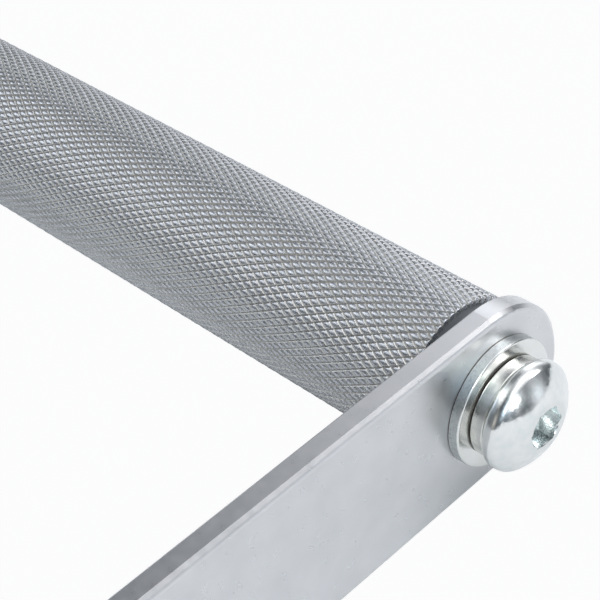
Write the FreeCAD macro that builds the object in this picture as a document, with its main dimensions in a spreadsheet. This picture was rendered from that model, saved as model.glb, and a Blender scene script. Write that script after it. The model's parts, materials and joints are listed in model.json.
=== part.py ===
import FreeCAD, Part
import math
import os
import Sketcher

# Single cable handle: a knurled grip that spins on a fixed axle, held in a stirrup
# bent from one flat bar, with a swivel eye on the bridge for the cable's clip.
# All lengths are in millimetres. The handle lies flat: X runs along the grip,
# -Y points to the eye, Z is up across the bar's width, and the origin is on the
# floor under the middle of the handle's outline.

doc = FreeCAD.newDocument("cable_handle")

# Driving dimensions
SIZES = {
    # stirrup bar, its bends and its holes
    "strap_width": 30.0,
    "strap_thickness": 4.0,
    "inner_span": 140.0,
    "leg_corner": 84.0,
    "bridge_reach": 134.0,
    "bridge_width": 48.0,
    "bend_radius": 14.0,
    "outer_edge_bevel": 0.8,
    "outer_edge_round": 1.0,
    "inner_edge_bevel": 0.4,
    "bolt_hole_diameter": 10.5,
    # grip tube and its flanged bushes
    "grip_diameter": 27.0,
    "grip_bore": 21.0,
    "grip_end_bevel": 0.3,
    "grip_mouth_bevel": 0.5,
    "bush_flange_diameter": 25.0,
    "bush_flange_thickness": 2.4,
    "bush_flange_bevel": 0.3,
    "bush_sleeve_length": 18.0,
    "bush_lead_bevel": 1.0,
    "grip_side_play": 0.3,
    # fixed axle with a tapped hole in each end
    "axle_diameter": 16.0,
    "axle_end_bevel": 0.8,
    "tapped_depth": 18.0,
    # button screw, lock washer and flat washer at each end of the axle
    "screw_diameter": 10.0,
    "screw_length": 20.0,
    "screw_tip_bevel": 1.2,
    "head_diameter": 17.8,
    "head_height": 5.15,
    "head_rim_height": 2.0,
    "head_rim_round": 1.8,
    "head_foot_round": 0.8,
    "head_crown_diameter": 8.6,
    "socket_width": 6.1,
    "socket_depth": 3.2,
    "socket_drill_diameter": 5.4,
    "socket_mouth_diameter": 6.5,
    "flat_washer_diameter": 21.0,
    "flat_washer_bore": 10.5,
    "flat_washer_thickness": 1.8,
    "flat_washer_edge_round": 0.35,
    "lock_washer_diameter": 16.2,
    "lock_washer_bore": 10.2,
    "lock_washer_thickness": 2.7,
    "lock_washer_seat_diameter": 13.6,
    "lock_washer_edge_relief": 0.28,
    "lock_washer_edge_round": 0.25,
    "lock_washer_slit": 1.2,
    "lock_washer_slit_rake": 1.4,
    # swivel: sleeve bush, two thrust washers, steel washer and self-locking nut
    "shank_diameter": 12.0,
    "swivel_bush_diameter": 16.0,
    "thrust_washer_diameter": 22.0,
    "thrust_washer_thickness": 1.5,
    "thrust_washer_edge_bevel": 0.3,
    "swivel_play": 0.3,
    "swivel_washer_diameter": 23.5,
    "swivel_washer_thickness": 2.5,
    "swivel_washer_edge_round": 0.5,
    "nut_width": 18.0,
    "nut_height": 9.0,
    "nut_corner_cut": 1.0,
    "nut_collar_diameter": 17.0,
    "nut_collar_height": 3.0,
    "nut_collar_round": 0.8,
    "insert_diameter": 14.6,
    "insert_thickness": 2.2,
    "insert_lip": 0.5,
    "shank_overhang": 2.0,
    "shank_tip_bevel": 1.3,
    # swivel eye
    "shoulder_diameter": 20.0,
    "shoulder_length": 4.0,
    "shoulder_edge_bevel": 0.8,
    "neck_length": 2.0,
    "eye_hole_diameter": 16.0,
    "eye_wall": 6.5,
    "eye_thickness": 10.0,
    # clearances and the allowances of the model itself
    "running_clearance": 0.06,
    "seated_clearance": 0.03,
    "loose_clearance": 0.2,
    "cut_overrun": 2.0,
    "match_tolerance": 0.001,
}
# how deep a drill's point goes for each unit of its hole's radius
DRILL_POINT_SHARE = 0.6
# how far each screw's socket has turned by the time that the screw is tight
SOCKET_TURNS = {"left": "17 deg", "right": "-6.1 deg"}
# the rounds at the eye's rim and at its hole, for each unit of its wall
EYE_RIM_SHARE = 0.62
EYE_MOUTH_SHARE = 0.23
# the neck's root on the shoulder, its tip in the ring and its blends, for each unit
# of the shoulder's diameter, the ring's thickness and the neck's length
NECK_ROOT_SHARE = 0.74
NECK_TIP_SHARE = 0.9
NECK_BLEND_SHARE = 0.75

sheet = doc.addObject("Spreadsheet::Sheet", "sheet")
for row, (alias, value) in enumerate(SIZES.items(), start=1):
    sheet.set(f"A{row}", alias)
    sheet.set(f"B{row}", str(value))
    sheet.setAlias(f"B{row}", alias)
doc.recompute()

# Places that several pieces share, as expressions of the sheet's cells
SHOULDER_FACE = "(sheet.thrust_washer_thickness + sheet.swivel_play)"
EYE_RADIUS = "(sheet.eye_hole_diameter / 2 + sheet.eye_wall)"
EYE_EDGE = "(sheet.shoulder_length + sheet.neck_length)"
EYE_TIP = f"(sheet.bridge_reach + {SHOULDER_FACE} + {EYE_EDGE} + 2 * {EYE_RADIUS})"
GRIP_AXIS_Y = f"(({EYE_TIP} - sheet.strap_width / 2) / 2)"
HALF_WIDTH = "(sheet.strap_width / 2)"
STRAP_FACE_X = "(sheet.inner_span / 2 + sheet.strap_thickness)"
INNER_WASHER_FACE = "(sheet.strap_thickness + sheet.thrust_washer_thickness)"
NUT_FACE = f"({INNER_WASHER_FACE} + sheet.swivel_washer_thickness)"
NUT_END = f"({NUT_FACE} + sheet.nut_height + sheet.nut_collar_height)"


def number(expression):
    """The value of an expression of the sheet's cells."""
    return float(sheet.evalExpression(expression))


TOLERANCE = number("sheet.match_tolerance")


def is_close(first, second):
    return abs(first - second) < TOLERANCE


def new_body(label):
    body = doc.addObject("PartDesign::Body", label)
    body.Label = label
    return body


def new_sketch(body, name, role):
    """An empty sketch on one of the body's own origin planes."""
    plane = next(item for item in body.Origin.OriginFeatures if item.Role == role)
    sketch = body.newObject("Sketcher::SketchObject", name)
    sketch.AttachmentSupport = [(plane, "")]
    sketch.MapMode = "FlatFace"
    return sketch


def hold(sketch, name, kind, refs, expression):
    """Adds one dimension to the sketch and binds it to the sheet."""
    index = sketch.addConstraint(Sketcher.Constraint(kind, *refs, number(expression)))
    sketch.renameConstraint(index, name)
    sketch.setExpression(f"Constraints.{name}", expression)


def add_arc(sketch, start, end, axis, clockwise):
    """An arc between two points, centred on the sketch's H or V axis. Returns which
    of its ends, 1 or 2, lie at the two points."""
    run = end - start
    along = run.x if axis == "H" else run.y
    shift = (end.Length ** 2 - start.Length ** 2) / (2 * along)
    centre = FreeCAD.Vector(shift, 0, 0) if axis == "H" else FreeCAD.Vector(0, shift, 0)
    turns = [math.atan2(point.y - centre.y, point.x - centre.x) for point in (start, end)]
    if clockwise:
        turns.reverse()
    circle = Part.Circle(centre, FreeCAD.Vector(0, 0, 1), (start - centre).Length)
    side = sketch.addGeometry(Part.ArcOfCircle(circle, *turns), False)
    axis_number = -1 if axis == "H" else -2
    sketch.addConstraint(Sketcher.Constraint("PointOnObject", side, 3, axis_number))
    return (2, 1) if clockwise else (1, 2)


def draw_outline(sketch, corners, arcs=None):
    """A closed outline through its corners. The sides are straight, except those
    that arcs names by number, with the axis of their centre and their direction."""
    points = [FreeCAD.Vector(number(x), number(y), 0) for x, y in corners]
    ends = []
    for side, start in enumerate(points):
        end = points[(side + 1) % len(points)]
        if arcs and side in arcs:
            ends.append(add_arc(sketch, start, end, *arcs[side]))
        else:
            sketch.addGeometry(Part.LineSegment(start, end), False)
            ends.append((1, 2))
    for side in range(len(points)):
        after = (side + 1) % len(points)
        refs = (side, ends[side][1], after, ends[after][0])
        sketch.addConstraint(Sketcher.Constraint("Coincident", *refs))
    for side, (x, y) in enumerate(corners):
        hold(sketch, f"across_{side}", "DistanceX", (-1, 1, side, ends[side][0]), x)
        hold(sketch, f"up_{side}", "DistanceY", (-1, 1, side, ends[side][0]), y)


def draw_circle(sketch, radius, centre="0"):
    """A circle with its centre on the sketch's horizontal axis."""
    place = FreeCAD.Vector(number(centre), 0, 0)
    sketch.addGeometry(Part.Circle(place, FreeCAD.Vector(0, 0, 1), number(radius)), False)
    sketch.addConstraint(Sketcher.Constraint("PointOnObject", 0, 3, -1))
    hold(sketch, "centre", "DistanceX", (-1, 1, 0, 3), centre)
    hold(sketch, "radius", "Radius", (0,), radius)


def draw_hexagon(sketch, width, turn="0 deg"):
    """A hexagon of that width across its flats, with a corner that far from the H axis."""
    corner = f"({width} / sqrt(3))"
    around = [f"({step * 60} deg + {turn})" for step in range(6)]
    draw_outline(sketch, [(f"{corner} * cos({turn})", f"{corner} * sin({turn})") for turn in around])


def turned(body, name, corners, arcs=None, kind="Revolution"):
    """A solid or a groove of revolution about X, from its profile in the XY plane."""
    sketch = new_sketch(body, f"{name}_profile", "XY_Plane")
    draw_outline(sketch, corners, arcs)
    feature = body.newObject(f"PartDesign::{kind}", name)
    feature.Profile = sketch
    feature.ReferenceAxis = (sketch, ["H_Axis"])
    doc.recompute()
    return feature


def pad(body, name, sketch, length, side_type="Symmetric", reverse=False):
    block = body.newObject("PartDesign::Pad", name)
    block.Profile = sketch
    block.SideType = side_type
    block.Reversed = reverse
    block.setExpression("Length", length)
    doc.recompute()
    return block


def pocket(body, name, sketch, depth=None, side_type="Symmetric", reverse=False):
    """A cut right through the body, or to a depth, which has to take material away."""
    before = body.Shape.Volume
    cut = body.newObject("PartDesign::Pocket", name)
    cut.Profile = sketch
    cut.SideType = side_type
    cut.Reversed = reverse
    if depth:
        cut.setExpression("Length", depth)
    else:
        cut.Type = "ThroughAll"
    doc.recompute()
    if not body.Shape.Volume < before:
        raise RuntimeError(f"{body.Label}: {name} cuts nothing")
    return cut


def dress(body, name, kind, base, test, size):
    """A fillet or chamfer on those edges of its base that pass the test."""
    edges = [f"Edge{place}" for place, edge in enumerate(base.Shape.Edges, start=1) if test(edge)]
    if not edges:
        raise RuntimeError(f"{body.Label}: {name} finds no edge")
    feature = body.newObject(f"PartDesign::{kind}", name)
    feature.Base = (base, edges)
    feature.setExpression("Radius" if kind == "Fillet" else "Size", size)
    doc.recompute()
    return feature


def rim(x, radius):
    """Picks the round edge about X with that radius at that place along X."""
    place, size = number(x), number(radius)

    def test(edge):
        curve = edge.Curve
        if not isinstance(curve, Part.Circle):
            return False
        square = is_close(abs(curve.Axis.x), 1)
        return square and is_close(curve.Radius, size) and is_close(curve.Center.x, place)

    return test


def seat(body, station, outward="0"):
    """Places a piece made along X at a station, moved outward from the strap there."""
    turn = {"right": 0, "middle": 0, "left": 180, "bridge": -90}[station]
    body.Placement = FreeCAD.Placement(FreeCAD.Vector(), FreeCAD.Rotation(FreeCAD.Vector(0, 0, 1), turn))
    if station == "right":
        body.setExpression("Placement.Base.x", f"{STRAP_FACE_X} + {outward}")
    if station == "left":
        body.setExpression("Placement.Base.x", f"-{STRAP_FACE_X} - {outward}")
    along = f"{GRIP_AXIS_Y} - sheet.bridge_reach - {outward}" if station == "bridge" else GRIP_AXIS_Y
    body.setExpression("Placement.Base.y", along)
    body.setExpression("Placement.Base.z", HALF_WIDTH)
    doc.recompute()


# Stirrup: the flat bar stands on edge, with its legs straight beside the grip, two
# bends on each side and a short bridge. The bar keeps its thickness round the bends,
# so its inner corners follow from the outer ones and the lean of the shoulders.
def make_stirrup():
    body = new_body("stirrup_strap")
    inner_x = "(sheet.inner_span / 2)"
    bridge_x = "(sheet.bridge_width / 2)"
    rise = "(sheet.bridge_reach - sheet.leg_corner)"
    lean = f"atan(({STRAP_FACE_X} - {bridge_x}) / {rise})"
    leg_top = f"({HALF_WIDTH} + sheet.cut_overrun)"
    shoulder = (STRAP_FACE_X, "-sheet.leg_corner")
    corner = (bridge_x, "-sheet.bridge_reach")
    inner_shoulder = (inner_x, f"-(sheet.leg_corner - sheet.strap_thickness * tan({lean} / 2))")
    inner_corner_x = f"({bridge_x} - sheet.strap_thickness * tan((90 deg - {lean}) / 2))"
    inner_corner = (inner_corner_x, "-(sheet.bridge_reach - sheet.strap_thickness)")
    half = [corner, shoulder, (STRAP_FACE_X, leg_top), (inner_x, leg_top), inner_shoulder, inner_corner]
    outline = new_sketch(body, "bar_outline", "XY_Plane")
    draw_outline(outline, half + [(f"-{x}", y) for x, y in reversed(half)])
    bar = pad(body, "bar", outline, "sheet.strap_width")

    def upright_edges(places):
        spots = [(number(x), number(y)) for x, y in places]

        def test(edge):
            middle = edge.CenterOfMass
            upright = all(is_close(v.X, middle.x) and is_close(v.Y, middle.y) for v in edge.Vertexes)
            return upright and any(
                is_close(abs(middle.x), x) and is_close(middle.y, y) for x, y in spots)

        return test

    inner_bends = dress(body, "inner_bends", "Fillet", bar,
                        upright_edges([inner_shoulder, inner_corner]), "sheet.bend_radius")
    dress(body, "outer_bends", "Fillet", inner_bends,
          upright_edges([shoulder, corner]), "sheet.bend_radius + sheet.strap_thickness")

    # each leg ends full round, concentric with its bolt
    beyond = f"({HALF_WIDTH} + 2 * sheet.cut_overrun)"
    waste = [("0", HALF_WIDTH), ("0", leg_top), (beyond, leg_top), (beyond, f"-{leg_top}"),
             ("0", f"-{leg_top}"), ("0", f"-{HALF_WIDTH}")]
    end = new_sketch(body, "round_end_outline", "YZ_Plane")
    draw_outline(end, waste, arcs={len(waste) - 1: ("V", False)})
    pocket(body, "round_ends", end)

    bolt_holes = new_sketch(body, "bolt_hole_outline", "YZ_Plane")
    draw_circle(bolt_holes, "sheet.bolt_hole_diameter / 2")
    pocket(body, "bolt_holes", bolt_holes)
    swivel_hole = new_sketch(body, "swivel_hole_outline", "XZ_Plane")
    draw_circle(swivel_hole, "sheet.swivel_bush_diameter / 2 + sheet.seated_clearance")
    holes = pocket(body, "swivel_hole", swivel_hole)

    # the bevels run on from the legs round the ends, the bends and the bridge
    def leg_edges(x):
        face = number(x)

        def test(edge):
            first, last = edge.Vertexes[0].Point, edge.Vertexes[-1].Point
            straight = isinstance(edge.Curve, Part.Line) and is_close(first.x, last.x)
            lengthwise = straight and is_close(first.z, last.z) and not is_close(first.y, last.y)
            return lengthwise and is_close(abs(first.x), face)

        return test

    outside = dress(body, "outer_bevels", "Chamfer", holes, leg_edges(STRAP_FACE_X),
                    "sheet.outer_edge_bevel")
    inside = dress(body, "inner_bevels", "Chamfer", outside, leg_edges(inner_x), "sheet.inner_edge_bevel")
    dress(body, "outer_rounds", "Fillet", inside, leg_edges(STRAP_FACE_X), "sheet.outer_edge_round")
    seat(body, "middle")


# Fixed axle: a steel bar across the stirrup, tapped at both ends for the screws
def make_axle():
    body = new_body("axle_rod")
    end = "(sheet.inner_span / 2)"
    radius = "(sheet.axle_diameter / 2)"
    thread = "(sheet.screw_diameter / 2 + sheet.seated_clearance)"
    bottom = f"({end} - sheet.tapped_depth)"
    point = f"({bottom} - {thread} * {DRILL_POINT_SHARE})"
    half = [(point, "0"), (bottom, thread), (end, thread), (end, f"{radius} - sheet.axle_end_bevel"),
            (f"({end} - sheet.axle_end_bevel)", radius)]
    turned(body, "rod", half + [(f"-{x}", y) for x, y in reversed(half)])
    seat(body, "middle")


# Grip: a steel tube with a plastic bush pressed into each end
def make_grip_tube():
    body = new_body("grip_tube")
    end = "(sheet.inner_span / 2 - sheet.grip_side_play - sheet.bush_flange_thickness)"
    outer = "(sheet.grip_diameter / 2)"
    bore = "(sheet.grip_bore / 2)"
    half = [(f"({end} - sheet.grip_mouth_bevel)", bore), (end, f"{bore} + sheet.grip_mouth_bevel"),
            (end, f"{outer} - sheet.grip_end_bevel"), (f"({end} - sheet.grip_end_bevel)", outer)]
    turned(body, "tube", half + [(f"-{x}", y) for x, y in reversed(half)])
    seat(body, "middle")


def make_grip_bush(side):
    body = new_body(f"{side}_grip_bush")
    bore = "(sheet.axle_diameter / 2 + sheet.running_clearance)"
    flange = "(sheet.bush_flange_diameter / 2)"
    sleeve = "(sheet.grip_bore / 2 - sheet.seated_clearance)"
    step = "-sheet.bush_flange_thickness"
    end = "-(sheet.bush_flange_thickness + sheet.bush_sleeve_length)"
    turned(body, "bush", [
        ("0", bore),
        ("0", f"{flange} - sheet.bush_flange_bevel"),
        ("-sheet.bush_flange_bevel", flange),
        (step, flange),
        (step, sleeve),
        (f"{end} + sheet.bush_lead_bevel", sleeve),
        (end, f"{sleeve} - sheet.bush_lead_bevel"),
        (end, bore),
    ])
    seat(body, side, "(0 - sheet.strap_thickness - sheet.grip_side_play)")


# Bolt stack outside the strap: flat washer, split lock washer, button screw
def make_ring(label, bore, outer, thickness):
    """A flat ring whose back is at X = 0."""
    body = new_body(label)
    turned(body, "ring", [("0", bore), ("0", outer), (thickness, outer), (thickness, bore)])
    return body


def make_flat_washer(side):
    thickness = "sheet.flat_washer_thickness"
    outer = "(sheet.flat_washer_diameter / 2)"
    bore = "(sheet.flat_washer_bore / 2)"
    body = make_ring(f"{side}_flat_washer", bore, outer, thickness)
    dress(body, "stamped_edge", "Fillet", body.Tip, rim(thickness, outer), "sheet.flat_washer_edge_round")
    seat(body, side)


def make_lock_washer(side):
    thickness = "sheet.lock_washer_thickness"
    outer = "(sheet.lock_washer_diameter / 2)"
    bore = "(sheet.lock_washer_bore / 2)"
    body = new_body(f"{side}_lock_washer")
    # both faces bear near the bore and fall away a little towards the outer edge
    bearing = "(sheet.lock_washer_seat_diameter / 2)"
    back_edge = "sheet.lock_washer_edge_relief"
    front_edge = f"({thickness} - {back_edge})"
    turned(body, "ring", [("0", bore), ("0", bearing), (back_edge, outer), (front_edge, outer),
                          (thickness, bearing), (thickness, bore)])
    faces = [rim(back_edge, outer), rim(front_edge, outer)]
    dress(body, "edge_rounds", "Fillet", body.Tip, lambda edge: any(face(edge) for face in faces),
          "sheet.lock_washer_edge_round")
    # the slit leans along its way through the ring and faces the floor
    lean = "(sheet.lock_washer_slit_rake / 2)"
    half_gap = "(sheet.lock_washer_slit / 2)"
    reach = "(sheet.cut_overrun / sheet.lock_washer_thickness)"
    front = f"({thickness} * (1 + {reach}))"
    back = f"(-{thickness} * {reach})"
    rake = f"({lean} * (1 + 2 * {reach}))"
    slit = new_sketch(body, "slit_outline", "XY_Plane")
    draw_outline(slit, [(back, f"-{rake} - {half_gap}"), (front, f"{rake} - {half_gap}"),
                        (front, f"{rake} + {half_gap}"), (back, f"-{rake} + {half_gap}")])
    pocket(body, "slit", slit, side_type="One side", reverse=False)
    seat(body, side, "sheet.flat_washer_thickness")


def make_button_screw(side):
    body = new_body(f"{side}_button_screw")
    shank = "(sheet.screw_diameter / 2)"
    tip = "-sheet.screw_length"
    head = "(sheet.head_diameter / 2)"
    crown = "(sheet.head_crown_diameter / 2)"
    profile = [
        (tip, "0"),
        (tip, f"{shank} - sheet.screw_tip_bevel"),
        (f"{tip} + sheet.screw_tip_bevel", shank),
        ("0", shank),
        ("0", head),
        ("sheet.head_rim_height", head),
        ("sheet.head_height", crown),
        ("sheet.head_height", "0"),
    ]
    dome = profile.index(("sheet.head_rim_height", head))
    blank = turned(body, "screw", profile, arcs={dome: ("H", True)})
    foot = dress(body, "foot_round", "Fillet", blank, rim("0", head), "sheet.head_foot_round")
    dress(body, "rim_round", "Fillet", foot, rim("sheet.head_rim_height", head), "sheet.head_rim_round")

    # the socket is a drilled hole with a cone at its mouth, broached to a hexagon
    socket = new_sketch(body, "socket_outline", "YZ_Plane")
    draw_hexagon(socket, "sheet.socket_width", SOCKET_TURNS[side])
    socket.setExpression("AttachmentOffset.Base.z", "sheet.head_height")
    pocket(body, "socket", socket, depth="sheet.socket_depth", side_type="One side")
    drill = "(sheet.socket_drill_diameter / 2)"
    floor = "(sheet.head_height - sheet.socket_depth)"
    turned(body, "drill_point", [(f"{floor} - {drill} * {DRILL_POINT_SHARE}", "0"), (floor, drill),
                                 (f"{floor} + sheet.socket_depth / 2", drill),
                                 (f"{floor} + sheet.socket_depth / 2", "0")], kind="Groove")
    mouth = "(sheet.socket_mouth_diameter / 2)"
    over = "sheet.cut_overrun"
    turned(body, "mouth_cone", [(f"sheet.head_height - {mouth}", "0"),
                                (f"sheet.head_height + {over}", f"{mouth} + {over}"),
                                (f"sheet.head_height + {over}", "0")], kind="Groove")
    seat(body, side, "(sheet.flat_washer_thickness + sheet.lock_washer_thickness)")


# Swivel bearing: a sleeve in the bridge's hole and a thrust washer on each face
def make_swivel_bush():
    bore = "(sheet.shank_diameter / 2 + sheet.running_clearance)"
    body = make_ring("swivel_bush", bore, "(sheet.swivel_bush_diameter / 2)", "sheet.strap_thickness")
    seat(body, "bridge", "(0 - sheet.strap_thickness)")


def make_thrust_washer(label, outward):
    thickness = "sheet.thrust_washer_thickness"
    outer = "(sheet.thrust_washer_diameter / 2)"
    bore = "(sheet.shank_diameter / 2 + sheet.loose_clearance)"
    body = make_ring(label, bore, outer, thickness)
    faces = [rim("0", outer), rim(thickness, outer)]
    dress(body, "edge_bevels", "Chamfer", body.Tip, lambda edge: any(face(edge) for face in faces),
          "sheet.thrust_washer_edge_bevel")
    seat(body, "bridge", outward)


def make_swivel_washer():
    thickness = "sheet.swivel_washer_thickness"
    outer = "(sheet.swivel_washer_diameter / 2)"
    bore = "(sheet.shank_diameter / 2 + sheet.loose_clearance)"
    body = make_ring("swivel_washer", bore, outer, thickness)
    dress(body, "stamped_edge", "Fillet", body.Tip, rim("0", outer), "sheet.swivel_washer_edge_round")
    seat(body, "bridge", f"(0 - {NUT_FACE})")


# Self-locking nut: a hexagon with its corners turned down at both faces, and a
# round collar that holds a plastic insert. It is made from its bearing face inward.
def make_swivel_nut():
    body = new_body("swivel_nut")
    hexagon = new_sketch(body, "hexagon_outline", "YZ_Plane")
    draw_hexagon(hexagon, "sheet.nut_width")
    pad(body, "hexagon", hexagon, "sheet.nut_height", side_type="One side", reverse=True)
    thread = "(sheet.shank_diameter / 2 + sheet.seated_clearance)"
    outside = "(sheet.nut_width / sqrt(3) + sheet.cut_overrun)"
    flat = "(sheet.nut_width / 2)"
    cut = "sheet.nut_corner_cut"
    depth = f"(({outside} - {flat}) * tan(30 deg))"
    for name, face, inward in (("bearing_corners", "0", "-"), ("collar_corners", "-sheet.nut_height", "+")):
        beyond = "+" if inward == "-" else "-"
        turned(body, name, [
            (face, f"{flat}"),
            (f"{face} {inward} {depth}", outside),
            (f"{face} {beyond} {cut}", outside),
            (f"{face} {beyond} {cut}", flat),
        ], kind="Groove")
    collar = "(sheet.nut_collar_diameter / 2)"
    end = "-(sheet.nut_height + sheet.nut_collar_height)"
    root = "(0 - sheet.nut_height + sheet.nut_corner_cut)"
    seat_radius = "(sheet.insert_diameter / 2)"
    seat_floor = f"({end} + sheet.insert_lip + sheet.insert_thickness)"
    turned(body, "collar", [(root, "0"), (root, collar), (f"{end} + sheet.nut_collar_round", collar),
                            (end, f"{collar} - sheet.nut_collar_round"), (end, "0")])
    over = f"({end} - sheet.cut_overrun)"
    turned(body, "bore", [("sheet.cut_overrun", "0"), ("sheet.cut_overrun", thread), (seat_floor, thread),
                          (seat_floor, seat_radius), (f"{end} + sheet.insert_lip", seat_radius),
                          (f"{end} + sheet.insert_lip", thread), (over, thread), (over, "0")], kind="Groove")
    seat(body, "bridge", f"(0 - {NUT_FACE})")


def make_nut_insert():
    thread = "(sheet.shank_diameter / 2 + sheet.seated_clearance)"
    outer = "(sheet.insert_diameter / 2 - sheet.seated_clearance)"
    body = make_ring("nut_insert", thread, outer, "sheet.insert_thickness")
    seat(body, "bridge", f"(0 - {NUT_END} + sheet.insert_lip)")


# Swivel eye: one forging, with a thick rounded ring whose hole takes the clip, a
# neck that swells into a shoulder, and a shank that goes through the bridge
def make_swivel_eye():
    body = new_body("swivel_eye")
    centre = f"({EYE_EDGE} + {EYE_RADIUS})"
    hole_radius = "(sheet.eye_hole_diameter / 2)"
    ring_outline = new_sketch(body, "ring_outline", "XY_Plane")
    draw_circle(ring_outline, EYE_RADIUS, centre)
    disc = pad(body, "ring", ring_outline, "sheet.eye_thickness")

    def round_edge(radius):
        def test(edge):
            return isinstance(edge.Curve, Part.Circle) and is_close(edge.Curve.Radius, number(radius))

        return test

    dress(body, "ring_rounds", "Fillet", disc, round_edge(EYE_RADIUS), f"sheet.eye_wall * {EYE_RIM_SHARE}")
    hole_outline = new_sketch(body, "hole_outline", "XY_Plane")
    draw_circle(hole_outline, hole_radius, centre)
    hole = pocket(body, "hole", hole_outline)
    dress(body, "hole_rounds", "Fillet", hole, round_edge(hole_radius),
          f"sheet.eye_wall * {EYE_MOUTH_SHARE}")

    shank = "(sheet.shank_diameter / 2)"
    shoulder = "(sheet.shoulder_diameter / 2)"
    bevel = "sheet.shoulder_edge_bevel"
    length = "sheet.shoulder_length"
    wall_middle = f"({EYE_EDGE} + sheet.eye_wall / 2)"
    neck_root = f"({shoulder} * {NECK_ROOT_SHARE})"
    tip = f"(0 - {SHOULDER_FACE} - {NUT_END} - sheet.shank_overhang)"
    forging = turned(body, "neck_and_shank", [
        (tip, "0"),
        (tip, f"{shank} - sheet.shank_tip_bevel"),
        (f"{tip} + sheet.shank_tip_bevel", shank),
        ("0", shank),
        ("0", f"{shoulder} - {bevel}"),
        (bevel, shoulder),
        (f"{length} - {bevel}", shoulder),
        (length, f"{shoulder} - {bevel}"),
        (length, neck_root),
        (wall_middle, f"sheet.eye_thickness / 2 * {NECK_TIP_SHARE}"),
        (wall_middle, "0"),
    ])

    # the neck runs out into the ring along the only edges that are neither round
    # nor straight, and it meets the shoulder's face in a circle
    neck_foot = rim(length, neck_root)

    def neck_edges(edge):
        return neck_foot(edge) or not isinstance(edge.Curve, (Part.Circle, Part.Line))

    dress(body, "neck_blends", "Fillet", forging, neck_edges, f"sheet.neck_length * {NECK_BLEND_SHARE}")
    seat(body, "bridge", SHOULDER_FACE)


make_stirrup()
make_axle()
make_grip_tube()
for end_side in ("left", "right"):
    make_grip_bush(end_side)
    make_flat_washer(end_side)
    make_lock_washer(end_side)
    make_button_screw(end_side)
make_swivel_bush()
make_thrust_washer("outer_thrust_washer", "0")
make_thrust_washer("inner_thrust_washer", f"(0 - {INNER_WASHER_FACE})")
make_swivel_washer()
make_swivel_nut()
make_nut_insert()
make_swivel_eye()

doc.recompute()
for item in doc.Objects:
    if {"Invalid", "Error"} & set(item.State):
        raise RuntimeError(f"{item.Label} failed: {item.State}")

os.makedirs("parts", exist_ok=True)
for body in doc.findObjects("PartDesign::Body"):
    shape = body.Shape
    if shape.isNull() or not shape.isValid():
        raise RuntimeError(f"{body.Label} has no valid shape")
    shape.exportStep(f"parts/{body.Label}.step")
    box = shape.optimalBoundingBox()
    print(f"{body.Label}: {len(shape.Solids)} solid, {shape.Volume:.0f} mm3,",
          f"x {box.XMin:.2f} to {box.XMax:.2f}, y {box.YMin:.2f} to {box.YMax:.2f},",
          f"z {box.ZMin:.2f} to {box.ZMax:.2f}")
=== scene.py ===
import json
import math
import random

import bmesh
import bpy
from mathutils import Matrix, Vector


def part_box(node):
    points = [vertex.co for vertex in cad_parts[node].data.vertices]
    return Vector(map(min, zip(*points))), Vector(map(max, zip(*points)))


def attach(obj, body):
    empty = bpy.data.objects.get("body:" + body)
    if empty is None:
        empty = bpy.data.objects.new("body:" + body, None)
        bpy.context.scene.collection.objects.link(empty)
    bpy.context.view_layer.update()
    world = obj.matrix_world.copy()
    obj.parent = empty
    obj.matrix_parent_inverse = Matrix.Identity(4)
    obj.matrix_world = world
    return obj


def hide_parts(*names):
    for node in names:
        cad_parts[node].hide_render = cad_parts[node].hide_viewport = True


# Single cable handle: a knurled grip in a satin flat-bar stirrup, held by bright screws,
# with a swivel eye. Lengths are in metres, and places are worked out from the frame.
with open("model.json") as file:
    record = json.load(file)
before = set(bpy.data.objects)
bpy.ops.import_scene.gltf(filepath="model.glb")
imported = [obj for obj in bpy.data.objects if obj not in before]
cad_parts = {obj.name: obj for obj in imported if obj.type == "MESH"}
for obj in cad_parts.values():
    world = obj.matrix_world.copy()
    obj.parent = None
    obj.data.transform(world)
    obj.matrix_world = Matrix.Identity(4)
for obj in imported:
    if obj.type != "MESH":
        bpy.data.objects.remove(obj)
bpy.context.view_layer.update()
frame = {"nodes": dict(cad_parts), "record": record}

MM = 0.001

# Places of the right-hand bolt, which the left-hand one mirrors
SCREW_LOW, SCREW_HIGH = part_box("right_button_screw")
LOCK_LOW, LOCK_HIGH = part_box("right_lock_washer")
_, STRAP_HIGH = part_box("stirrup_strap")
BOLT_AXIS = (SCREW_LOW + SCREW_HIGH) / 2
BAR_FACE = STRAP_HIGH.x
WASHER_FACE = LOCK_LOW.x
HEAD_FOOT = LOCK_HIGH.x
CROWN_FACE = SCREW_HIGH.x
LOCK_RADIUS = (LOCK_HIGH.z - LOCK_LOW.z) / 2


# Camera, from a fit to the photograph: where it stands, which way it looks and its tilt
CAMERA_PLACE = Vector((0.19393, -0.06219, 0.19147))
CAMERA_LOOK = Vector((-0.57702, 0.50328, -0.64324))
CAMERA_TILT = math.radians(6.76)
CAMERA_LENS = 103.26
CAMERA_NEAR = 10 * MM


def make_camera():
    data = bpy.data.cameras.new("camera")
    data.lens = CAMERA_LENS
    data.clip_start = CAMERA_NEAR
    camera = bpy.data.objects.new("camera", data)
    bpy.context.collection.objects.link(camera)
    level = CAMERA_LOOK.to_track_quat("-Z", "Y").to_matrix()
    turn = (level @ Matrix.Rotation(-CAMERA_TILT, 3, "Z")).to_4x4()
    camera.matrix_world = Matrix.Translation(CAMERA_PLACE) @ turn
    bpy.context.scene.camera = camera


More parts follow.
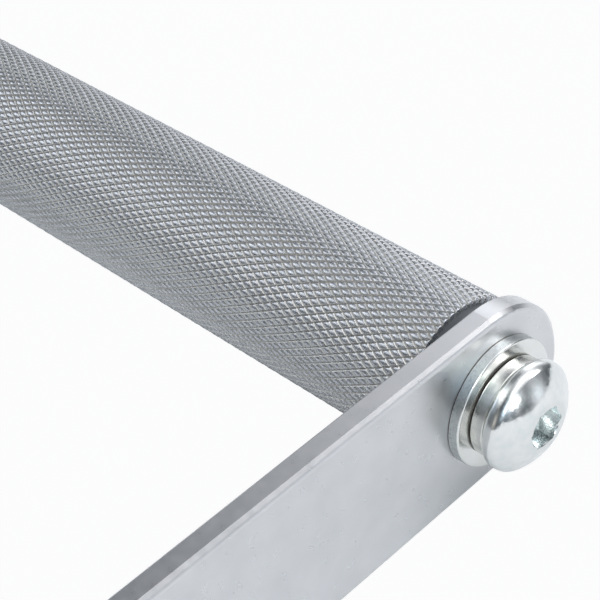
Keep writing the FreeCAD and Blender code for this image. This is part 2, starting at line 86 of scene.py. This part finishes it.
# Studio: a pale table in a dim room, with two softboxes and the soft glow of windows and
# pale walls. Each is set by the direction that it stands in from the bolt, in degrees. A
# softbox fills an ellipse of that many degrees, and a glow fades with its spread.
STUDIO_CENTRE = Vector((HEAD_FOOT, BOLT_AXIS.y, BOLT_AXIS.z))
SOFTBOX_DISTANCE = 1.2
SOFTBOXES = {
    "softbox_near": dict(azimuth=-10, elevation=25, wide=17, high=19, radiance=8.5),
    "softbox_far": dict(azimuth=56, elevation=34, wide=20, high=20, radiance=4.6),
}
ROOM_TONE = (0.095, 0.11, 0.125)
GLOWS = (
    dict(azimuth=60, elevation=60, spread=25, tone=(2.6, 2.55, 2.65)),
    dict(azimuth=195, elevation=30, spread=15, tone=(2.8, 2.85, 3.0)),
    dict(azimuth=225, elevation=55, spread=17, tone=(1.9, 1.95, 1.95)),
    dict(azimuth=345, elevation=60, spread=15, tone=(1.8, 1.95, 1.95)),
    dict(azimuth=330, elevation=30, spread=15, tone=(2.2, 2.6, 3.0)),
    dict(azimuth=31, elevation=8, spread=13, tone=(1.1, 1.15, 1.22)),
    dict(azimuth=352, elevation=27, spread=13, tone=(1.0, 1.05, 1.1)),
    dict(azimuth=110, elevation=14, spread=15, tone=(1.15, 1.15, 1.18)),
    dict(azimuth=120, elevation=34, spread=13, tone=(1.9, 1.92, 2.0)),
    dict(azimuth=270, elevation=15, spread=15, tone=(0.6, 0.55, 0.5)),
)
TABLE_RADIUS = 3.0
TABLE_SIDES = 96
TABLE_TONE = 0.86
DOME_RADIUS = 2.98
DOME_SUBDIVISIONS = 5
PAPER_TONE = 0.25
PAPER_GLOW = 0.95
PAPER_ROUGHNESS = 0.9


def direction(azimuth, elevation):
    """The unit vector that points that way."""
    around, above = math.radians(azimuth), math.radians(elevation)
    level = math.cos(above)
    return Vector((level * math.cos(around), level * math.sin(around), math.sin(above)))


def lamp_size(angle):
    """How wide a softbox is that fills an angle as seen from the bolt."""
    return 2 * SOFTBOX_DISTANCE * math.tan(math.radians(angle / 2))


def make_softbox(name, azimuth, elevation, wide, high, radiance):
    """A rounded lamp that faces the bolt."""
    way = direction(azimuth, elevation)
    lamp = bpy.data.lights.new(name, "AREA")
    lamp.shape = "ELLIPSE"
    lamp.size = lamp_size(wide)
    lamp.size_y = lamp_size(high)
    area = math.pi / 4 * lamp.size * lamp.size_y
    lamp.energy = radiance * math.pi * area
    softbox = bpy.data.objects.new(name, lamp)
    bpy.context.collection.objects.link(softbox)
    softbox.location = STUDIO_CENTRE + way * SOFTBOX_DISTANCE
    softbox.rotation_euler = (-way).to_track_quat("-Z", "Y").to_euler()


def make_room():
    """The room's light: an even tone, with each glow added as exp(-(angle / spread)^2)."""
    world = bpy.data.worlds.new("room")
    world.use_nodes = True
    nodes, links = world.node_tree.nodes, world.node_tree.links
    way = nodes.new("ShaderNodeTexCoord").outputs["Generated"]

    def step(kind, operation, *values):
        node = nodes.new(f"ShaderNode{kind}")
        node.operation = operation
        for place, value in enumerate(values):
            if isinstance(value, bpy.types.NodeSocket):
                links.new(value, node.inputs[place])
            else:
                node.inputs[place].default_value = value
        return node

    total = ROOM_TONE
    for glow in GLOWS:
        middle = direction(glow["azimuth"], glow["elevation"])
        sharpness = 2 / math.radians(glow["spread"]) ** 2
        facing = step("VectorMath", "DOT_PRODUCT", way, middle).outputs["Value"]
        power = step("Math", "MULTIPLY_ADD", facing, sharpness, -sharpness).outputs[0]
        share = step("Math", "EXPONENT", power).outputs[0]
        light = step("VectorMath", "MULTIPLY", share, glow["tone"]).outputs[0]
        total = step("VectorMath", "ADD", light, total).outputs[0]
    links.new(total, nodes["Background"].inputs["Color"])
    bpy.context.scene.world = world


def paper_material(name, tone, glow):
    """Plain matt paper, with a glow of its own."""
    paper = bpy.data.materials.new(name)
    paper.use_nodes = True
    shader = paper.node_tree.nodes["Principled BSDF"]
    shader.inputs["Base Color"].default_value = (tone, tone, tone, 1)
    shader.inputs["Roughness"].default_value = PAPER_ROUGHNESS
    shader.inputs["Emission Color"].default_value = (1, 1, 1, 1)
    shader.inputs["Emission Strength"].default_value = glow
    return paper


def add_dome(shape):
    """Half a sphere that stands on the floor."""
    bmesh.ops.create_icosphere(shape, subdivisions=DOME_SUBDIVISIONS, radius=DOME_RADIUS)
    whole = shape.verts[:] + shape.edges[:] + shape.faces[:]
    bmesh.ops.bisect_plane(
        shape, geom=whole, plane_co=(0, 0, 0), plane_no=(0, 0, 1), clear_inner=True)


def make_stage(name, material, domed):
    """A round table top, or one with a dome over it as a backdrop."""
    mesh = bpy.data.meshes.new(name)
    shape = bmesh.new()
    if domed:
        add_dome(shape)
    bmesh.ops.create_circle(shape, cap_ends=True, segments=TABLE_SIDES, radius=TABLE_RADIUS)
    shape.to_mesh(mesh)
    shape.free()
    mesh.materials.append(material)
    stage = bpy.data.objects.new(name, mesh)
    bpy.context.collection.objects.link(stage)
    return stage


def make_stages():
    """The table, which the camera doesn't see, lights the handle, is mirrored in it and
    takes its shadow. The camera sees a glowing paper in its place, on which shadows are
    faint."""
    table = make_stage("table", paper_material("table", TABLE_TONE, 0.0), domed=False)
    table.visible_camera = False
    paper = make_stage("paper", paper_material("paper", PAPER_TONE, PAPER_GLOW), domed=True)
    paper.visible_diffuse = False
    paper.visible_glossy = False
    paper.visible_transmission = False
    paper.visible_shadow = False


def make_studio():
    make_room()
    make_stages()
    for name, settings in SOFTBOXES.items():
        make_softbox(name, **settings)
    scene = bpy.context.scene
    scene.view_settings.view_transform = "Standard"
    scene.view_settings.look = "None"


# Materials. Patterns are set by their real size and follow each piece's own place. A mask
# is a value that is 1 in one zone of the surface and 0 outside it. The zones are painted shade
# at the flat washer's two faces, painted shade on the lock washer's wall beside one of them, and
# the sockets.
SEAM_SHADE_REACH = 0.10 * MM
SEAM_BLEND = 0.05 * MM
SEAM_RIM = 0.16 * MM
SHADE_REACH = 0.30 * MM
GAP_SHADE_RADIUS = LOCK_RADIUS - SEAM_RIM
SOCKET_RADIUS = 3.62 * MM
SOCKET_LIP = 0.12 * MM
SOCKET_BLEND = 0.04 * MM
SOCKET_MIDDLE = CROWN_FACE - SOCKET_LIP - SOCKET_RADIUS

# Scales along the axes, for noise that is even, in streaks along X or in rings about X
EVEN = (1, 1, 1)
STREAKED = (0.2, 1, 1)
RINGED = (1, 0.02, 0.02)

# Ranges that are spread to another: most noise, its middle, and a normal's lean along X
NOISE_RANGE = (0.3, 0.7)
PATCH_RANGE = (0.35, 0.65)
WALL_RANGE = (0.75, 0.35)


class Finish:
    """A material of one shader, with what varies over its surface added by calls. Its
    plain tone, which they cover, is for programs that show no patterns."""

    def __init__(self, name, tone, metallic=1.0):
        self.material = bpy.data.materials.new(name)
        self.material.use_nodes = True
        tree = self.material.node_tree
        self.nodes, self.links = tree.nodes, tree.links
        self.shader = self.nodes["Principled BSDF"]
        self.shader.inputs["Base Color"].default_value = (*tone, 1)
        self.shader.inputs["Metallic"].default_value = metallic
        self.place = self.nodes.new("ShaderNodeTexCoord").outputs["Object"]

    def noise(self, size, detail, stretch=EVEN):
        """Noise from 0 to 1 whose blotches have about that size."""
        mapping = self.nodes.new("ShaderNodeMapping")
        mapping.inputs["Scale"].default_value = stretch
        self.links.new(self.place, mapping.inputs["Vector"])
        noise = self.nodes.new("ShaderNodeTexNoise")
        noise.inputs["Scale"].default_value = 1 / size
        noise.inputs["Detail"].default_value = detail
        self.links.new(mapping.outputs["Vector"], noise.inputs["Vector"])
        return noise.outputs["Fac"]

    def spread(self, value, source, target):
        """Maps a range of a value onto another range."""
        node = self.nodes.new("ShaderNodeMapRange")
        self.links.new(value, node.inputs["Value"])
        node.inputs["From Min"].default_value, node.inputs["From Max"].default_value = source
        node.inputs["To Min"].default_value, node.inputs["To Max"].default_value = target
        return node.outputs["Result"]

    def sharpen(self, value, source=PATCH_RANGE):
        """Makes a mask of a value: 0 at one end of a range and 1 at the other."""
        return self.spread(value, source, (0, 1))

    def spots(self, size, reach_share):
        """A mask of small round spots, at most one to each cell of that size."""
        cells = self.nodes.new("ShaderNodeTexVoronoi")
        cells.inputs["Scale"].default_value = 1 / size
        self.links.new(self.place, cells.inputs["Vector"])
        return self.sharpen(cells.outputs["Distance"], (reach_share, reach_share / 2))

    def reckon(self, operation, *values):
        """One step of arithmetic with values of the surface and numbers."""
        node = self.nodes.new("ShaderNodeMath")
        node.operation = operation
        for slot, value in zip(node.inputs, values):
            if isinstance(value, bpy.types.NodeSocket):
                self.links.new(value, slot)
            else:
                slot.default_value = value
        return node.outputs[0]

    def times(self, first, second):
        return self.reckon("MULTIPLY", first, second)

    def parts(self, vector):
        split = self.nodes.new("ShaderNodeSeparateXYZ")
        self.links.new(vector, split.inputs[0])
        return [split.outputs[axis] for axis in "XYZ"]

    def wall(self):
        """A mask of where the surface doesn't face along X, such as a washer's edge wall."""
        normal = self.nodes.new("ShaderNodeTexCoord").outputs["Normal"]
        lean, _, _ = self.parts(normal)
        return self.sharpen(self.reckon("ABSOLUTE", lean), WALL_RANGE)

    def near(self, station, reach, blend):
        """A mask of what is within reach of a station along X, at both ends alike."""
        along, _, _ = self.parts(self.place)
        gap = self.reckon("SUBTRACT", self.reckon("ABSOLUTE", along), station)
        return self.sharpen(self.reckon("ABSOLUTE", gap), (reach + blend, reach - blend))

    def within(self, radius, blend):
        """A mask of what is within a radius of the bolts' axis, which runs along X."""
        _, y, z = self.parts(self.place)
        squares = [self.reckon("POWER", self.reckon("SUBTRACT", value, middle), 2)
                   for value, middle in ((y, BOLT_AXIS.y), (z, BOLT_AXIS.z))]
        far = self.reckon("SQRT", self.reckon("ADD", *squares))
        return self.sharpen(far, (radius + blend, radius - blend))

    def tones(self, value, dark, light):
        """Colours the surface from a dark tone at 0 to a light one at 1."""
        mix = self.nodes.new("ShaderNodeMix")
        mix.data_type = "RGBA"
        mix.inputs["A"].default_value = (*dark, 1)
        mix.inputs["B"].default_value = (*light, 1)
        self.links.new(value, mix.inputs["Factor"])
        self.links.new(mix.outputs["Result"], self.shader.inputs["Base Color"])

    def overlay(self, mask, tone):
        """Lays a tone over those that the surface has, where the mask is 1."""
        colour = self.shader.inputs["Base Color"]
        mix = self.nodes.new("ShaderNodeMix")
        mix.data_type = "RGBA"
        self.links.new(colour.links[0].from_socket, mix.inputs["A"])
        mix.inputs["B"].default_value = (*tone, 1)
        self.links.new(mask, mix.inputs["Factor"])
        self.links.new(mix.outputs["Result"], colour)

    def dull(self, mask, tone):
        """Paints shade: takes the shine off where the mask is 1, and lays a flat tone there."""
        self.overlay(mask, tone)
        self.links.new(self.spread(mask, (0, 1), (1, 0)), self.shader.inputs["Metallic"])

    def roughness(self, noise, least, most):
        rough = self.spread(noise, NOISE_RANGE, (least, most))
        self.links.new(rough, self.shader.inputs["Roughness"])

    def rougher(self, mask, extra):
        """Adds to the roughness where the mask is 1."""
        slot = self.shader.inputs["Roughness"]
        self.links.new(self.reckon("MULTIPLY_ADD", mask, extra, slot.links[0].from_socket), slot)

    def bump(self, value, depth):
        """Raises the surface by a value, in steps that add up."""
        bump = self.nodes.new("ShaderNodeBump")
        bump.inputs["Strength"].default_value = 1.0
        bump.inputs["Distance"].default_value = depth
        self.links.new(value, bump.inputs["Height"])
        normal = self.shader.inputs["Normal"]
        if normal.links:
            self.links.new(normal.links[0].from_socket, bump.inputs["Normal"])
        self.links.new(bump.outputs["Normal"], normal)


def satin_steel():
    """Satin plate: faint clouds, a fine grain, and a small dark speck here and there."""
    finish = Finish("satin_plate", tone=(0.61, 0.615, 0.62))
    clouds = finish.sharpen(finish.noise(size=6 * MM, detail=4))
    finish.tones(clouds, dark=(0.585, 0.592, 0.60), light=(0.625, 0.628, 0.635))
    finish.overlay(finish.spots(size=7 * MM, reach_share=0.02), tone=(0.33, 0.34, 0.36))
    finish.roughness(finish.noise(size=1.5 * MM, detail=3), least=0.27, most=0.33)
    finish.bump(finish.noise(size=0.25 * MM, detail=3), depth=0.003 * MM)
    finish.bump(finish.noise(size=5 * MM, detail=2), depth=0.01 * MM)
    return finish.material


def knurl_groove():
    """Walls that the knurling wheels pressed: smooth, with a fine grain."""
    finish = Finish("knurl_groove", tone=(0.58, 0.57, 0.54))
    grain = finish.noise(size=0.18 * MM, detail=3)
    clouds = finish.noise(size=2.5 * MM, detail=3)
    finish.tones(clouds, dark=(0.525, 0.53, 0.52), light=(0.63, 0.62, 0.595))
    finish.roughness(grain, least=0.26, most=0.42)
    finish.bump(grain, depth=0.01 * MM)
    return finish.material


def knurl_crown():
    """Tops that keep the drawn tube's own skin: rough and speckled."""
    finish = Finish("knurl_crown", tone=(0.5, 0.5, 0.5))
    grain = finish.noise(size=0.14 * MM, detail=2)
    speckle = finish.sharpen(grain, source=(0.38, 0.62))
    finish.tones(speckle, dark=(0.34, 0.358, 0.385), light=(0.62, 0.635, 0.67))
    finish.roughness(finish.noise(size=0.3 * MM, detail=2), least=0.22, most=0.36)
    finish.bump(grain, depth=0.03 * MM)
    return finish.material


def bright_zinc():
    """Smooth bright plating: mottled, with a few specks and a broached socket."""
    finish = Finish("bright_zinc", tone=(0.72, 0.735, 0.72))
    mottle = finish.sharpen(finish.noise(size=1.4 * MM, detail=4))
    finish.tones(mottle, dark=(0.67, 0.70, 0.69), light=(0.75, 0.755, 0.745))
    finish.overlay(finish.spots(size=1.9 * MM, reach_share=0.055), tone=(0.40, 0.36, 0.33))
    finish.roughness(finish.noise(size=0.5 * MM, detail=3), least=0.10, most=0.20)
    finish.bump(finish.noise(size=1.0 * MM, detail=2), depth=0.008 * MM)
    finish.bump(finish.noise(size=0.45 * MM, detail=4), depth=0.010 * MM)
    broach_socket(finish)
    return finish.material


def broach_socket(finish):
    """Roughens both screws' sockets, and scratches them along X, as the broach went."""
    inside = finish.within(SOCKET_RADIUS, SOCKET_BLEND)
    sunk = finish.near(SOCKET_MIDDLE, SOCKET_RADIUS, SOCKET_BLEND)
    socket = finish.times(inside, sunk)
    grain = finish.noise(size=0.3 * MM, detail=4, stretch=STREAKED)
    scratches = finish.sharpen(grain, source=(0.5, 0.70))
    finish.overlay(socket, tone=(0.69, 0.725, 0.725))
    finish.overlay(finish.times(socket, scratches), tone=(0.82, 0.88, 0.86))
    finish.rougher(socket, extra=0.10)
    finish.bump(finish.times(grain, socket), depth=0.006 * MM)


def sprung_zinc():
    """Bright plating on a ring of drawn wire: streaked across its wall, with a painted
    shade at the foot of the wall, a flat grey without shine, where it bears on the flat washer."""
    finish = Finish("sprung_zinc", tone=(0.70, 0.70, 0.67))
    grain = finish.noise(size=1.6 * MM, detail=3, stretch=STREAKED)
    streaks = finish.sharpen(grain, source=(0.36, 0.64))
    finish.tones(streaks, dark=(0.60, 0.615, 0.59), light=(0.76, 0.755, 0.72))
    finish.overlay(finish.spots(size=1.3 * MM, reach_share=0.05), tone=(0.38, 0.33, 0.30))
    finish.roughness(finish.noise(size=0.4 * MM, detail=3), least=0.17, most=0.27)
    finish.bump(grain, depth=0.012 * MM)
    # Painted shade: a flat grey without shine at the foot of the wall, beside the gap
    finish.dull(finish.near(WASHER_FACE, SHADE_REACH, SEAM_BLEND), tone=(0.46, 0.45, 0.42))
    return finish.material


def punched_zinc():
    """Bright plating on a punched ring: its edge wall is greyer, rough and speckled. A painted dark
    line stands for the contact shadow where it bears on the bar, and a painted dark tone without
    shine for the shade in the gap where the lock washer bears on it."""
    finish = Finish("punched_zinc", tone=(0.72, 0.73, 0.72))
    wall = finish.wall()
    clouds = finish.sharpen(finish.noise(size=3 * MM, detail=3))
    blotches = finish.sharpen(finish.noise(size=0.32 * MM, detail=4), source=(0.50, 0.68))
    painted_seam_shade = finish.near(BAR_FACE, SEAM_SHADE_REACH, SEAM_BLEND)
    outer_face = finish.near(WASHER_FACE, SEAM_SHADE_REACH, SEAM_BLEND)
    painted_gap_shade = finish.times(outer_face, finish.within(GAP_SHADE_RADIUS, SEAM_BLEND))
    finish.tones(clouds, dark=(0.70, 0.705, 0.68), light=(0.74, 0.74, 0.725))
    finish.overlay(wall, tone=(0.55, 0.58, 0.575))
    finish.overlay(finish.times(wall, blotches), tone=(0.40, 0.43, 0.44))
    # Painted shade: a dark line along the wall where the washer meets the bar, for the contact
    # shadow
    finish.overlay(painted_seam_shade, tone=(0.07, 0.05, 0.04))
    # Painted shade: the face inside the lock washer's edge, seen through the gap, near-black and
    # without shine
    finish.dull(painted_gap_shade, tone=(0.06, 0.045, 0.035))
    finish.roughness(finish.noise(size=0.6 * MM, detail=3), least=0.13, most=0.19)
    finish.rougher(wall, extra=0.14)
    finish.bump(finish.noise(size=0.8 * MM, detail=2), depth=0.012 * MM)
    finish.bump(finish.times(blotches, wall), depth=0.01 * MM)
    return finish.material


def turned_steel():
    """A drawn bar, with the fine rings that the lathe leaves."""
    finish = Finish("turned_steel", tone=(0.55, 0.55, 0.56))
    rings = finish.noise(size=0.3 * MM, detail=2, stretch=RINGED)
    finish.tones(rings, dark=(0.48, 0.48, 0.49), light=(0.60, 0.60, 0.61))
    finish.roughness(rings, least=0.2, most=0.35)
    finish.bump(rings, depth=0.01 * MM)
    return finish.material


def forged_zinc():
    """Bright plating over a forging: softly uneven, with a fine grain."""
    finish = Finish("forged_zinc", tone=(0.7, 0.71, 0.72))
    clouds = finish.sharpen(finish.noise(size=4 * MM, detail=4))
    grain = finish.noise(size=0.3 * MM, detail=3)
    finish.tones(clouds, dark=(0.63, 0.655, 0.655), light=(0.72, 0.73, 0.745))
    finish.roughness(grain, least=0.16, most=0.28)
    finish.bump(finish.noise(size=2.2 * MM, detail=3), depth=0.05 * MM)
    finish.bump(grain, depth=0.004 * MM)
    return finish.material


def moulded(name, dark, light, least, most):
    """Moulded plastic with a fine matt skin."""
    finish = Finish(name, tone=dark, metallic=0.0)
    skin = finish.noise(size=0.12 * MM, detail=3)
    finish.tones(finish.noise(size=1.8 * MM, detail=3), dark, light)
    finish.roughness(skin, least, most)
    finish.bump(skin, depth=0.006 * MM)
    return finish.material


def slate_nylon():
    dark, light = (0.07, 0.078, 0.085), (0.095, 0.10, 0.108)
    return moulded("slate_nylon", dark, light, least=0.37, most=0.50)


def white_acetal():
    dark, light = (0.72, 0.72, 0.70), (0.80, 0.80, 0.78)
    return moulded("white_acetal", dark, light, least=0.30, most=0.43)


def blue_nylon():
    dark, light = (0.05, 0.14, 0.42), (0.07, 0.18, 0.50)
    return moulded("blue_nylon", dark, light, least=0.30, most=0.43)


FINISHES = {
    "satin_steel": satin_steel(),
    "axle_steel": turned_steel(),
    "zinc_steel": bright_zinc(),
    "punched_steel": punched_zinc(),
    "sprung_steel": sprung_zinc(),
    "forged_steel": forged_zinc(),
    "black_nylon": slate_nylon(),
    "white_acetal": white_acetal(),
    "blue_nylon": blue_nylon(),
}


def finish_nodes():
    """Gives every solid the finish of its slot in the record, and zinc rings theirs."""
    for part in frame["record"]["subparts"]:
        name, slot = part["node"], part["material_slot"]
        if slot == "zinc_steel" and name.endswith("washer"):
            slot = "sprung_steel" if "lock" in name else "punched_steel"
        if slot in FINISHES:
            mesh = frame["nodes"][name].data
            mesh.materials.clear()
            mesh.materials.append(FINISHES[slot])


# Knurled grip: two sets of V grooves cross at every start, and leave low diamonds with
# rolled edges, whose tops keep the tube's own rough skin. Crossings and diamonds lie on
# one grid of half steps, and take turns on it. Each ring of a diamond is a share of the
# way to its crossings, and a share of the grooves' depth below the crest.
KNURL_STARTS = 59
KNURL_ANGLE = math.radians(29)
KNURL_DEPTH = 0.31 * MM
KNURL_RING_SHARES = ((0.70, 0.38), (0.46, 0.13), (0.20, 0.0))
KNURL_WAYS = ((-1, 0), (0, 1), (1, 0), (0, -1))
KNURL_WANDER = 0.012 * MM
KNURL_SEED = 4
KNURL_SPARE_ROWS = 2
GROOVE_SLOT = 0
CROWN_SLOT = 1
TUBE_WALL = 3 * MM
TUBE_END_BEVEL = 0.15 * MM
TUBE_MOUTH_BEVEL = 0.5 * MM


def join_rings(shape, outer, inner, rolled):
    """Walls from one ring of a diamond to the next: pressed, or rolled over its edge."""
    for side in range(len(outer)):
        after = (side + 1) % len(outer)
        wall = shape.faces.new((outer[side], outer[after], inner[after], inner[side]))
        wall.material_index = CROWN_SLOT if rolled else GROOVE_SLOT
        wall.smooth = rolled


def knurl_sheet(shape, radius, reach):
    """The knurled skin about the X axis, a little longer than reach each way."""
    shake = random.Random(KNURL_SEED)
    half_turn = math.pi / KNURL_STARTS
    round_steps = 2 * KNURL_STARTS
    row = radius * half_turn / math.tan(KNURL_ANGLE)
    rows = math.ceil(reach / row) + KNURL_SPARE_ROWS

    def point(along, around, drop, wander):
        turn = around * half_turn
        height = radius - drop * KNURL_DEPTH - wander
        return shape.verts.new((along * row, height * math.cos(turn), height * math.sin(turn)))

    crossings = {}
    for along in range(-rows, rows + 1):
        for around in range(round_steps):
            if (along + around) % 2 == 0:
                crossings[along, around] = point(along, around, drop=1, wander=0)

    for along in range(1 - rows, rows):
        for around in range(round_steps):
            if (along + around) % 2 == 0:
                continue
            outer = [crossings[along + x, (around + y) % round_steps] for x, y in KNURL_WAYS]
            lean = [shake.random() * KNURL_WANDER for _ in KNURL_WAYS]
            for level, (share, drop) in enumerate(KNURL_RING_SHARES):
                inner = [point(along + share * x, around + share * y, drop, wander)
                         for (x, y), wander in zip(KNURL_WAYS, lean)]
                join_rings(shape, outer, inner, rolled=level > 0)
                outer = inner
            crown = shape.faces.new(outer)
            crown.material_index = CROWN_SLOT
            crown.smooth = True


def verts_of(edges):
    return {vert for edge in edges for vert in edge.verts}


def trim_end(shape, side, radius, reach):
    """Cuts the skin at one end, and bevels the cut so that the grooves notch its rim. The
    rim then runs on over the tube's end and through its mouth to the middle of its bore."""
    cone_foot = radius - TUBE_END_BEVEL
    cut = Vector((side * (reach - TUBE_END_BEVEL + KNURL_DEPTH / 2), 0, 0))
    whole = shape.verts[:] + shape.edges[:] + shape.faces[:]
    bmesh.ops.bisect_plane(shape, geom=whole, plane_co=cut, plane_no=(side, 0, 0), clear_outer=True)
    rim = [edge for edge in shape.edges if edge.is_boundary and edge.verts[0].co.x * side > 0]
    for vert in verts_of(rim):
        height = math.hypot(vert.co.y, vert.co.z)
        vert.co.x = side * (reach - max(height - cone_foot, 0))

    bore = radius - TUBE_WALL
    stations = (
        (reach, cone_foot),
        (reach, bore + TUBE_MOUTH_BEVEL),
        (reach - TUBE_MOUTH_BEVEL, bore),
        (0, bore),
    )
    for station, limit in stations:
        swept = bmesh.ops.extrude_edge_only(shape, edges=rim)["geom"]
        rim = [item for item in swept if isinstance(item, bmesh.types.BMEdge)]
        for vert in verts_of(rim):
            turn = math.atan2(vert.co.z, vert.co.y)
            height = min(math.hypot(vert.co.y, vert.co.z), limit)
            vert.co = (side * station, height * math.cos(turn), height * math.sin(turn))


def make_knurled_grip():
    low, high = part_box("grip_tube")
    centre = (low + high) / 2
    radius, reach = (high.z - low.z) / 2, (high.x - low.x) / 2
    shape = bmesh.new()
    knurl_sheet(shape, radius, reach)
    for side in (-1, 1):
        trim_end(shape, side, radius, reach)
    bmesh.ops.recalc_face_normals(shape, faces=shape.faces[:])
    shape.transform(Matrix.Translation(centre))
    mesh = bpy.data.meshes.new("knurled_grip")
    shape.to_mesh(mesh)
    shape.free()
    mesh.materials.append(knurl_groove())
    mesh.materials.append(knurl_crown())
    grip = bpy.data.objects.new("knurled_grip", mesh)
    bpy.context.collection.objects.link(grip)
    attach(grip, "grip")
    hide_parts("grip_tube")


make_camera()
make_studio()
finish_nodes()
make_knurled_grip()
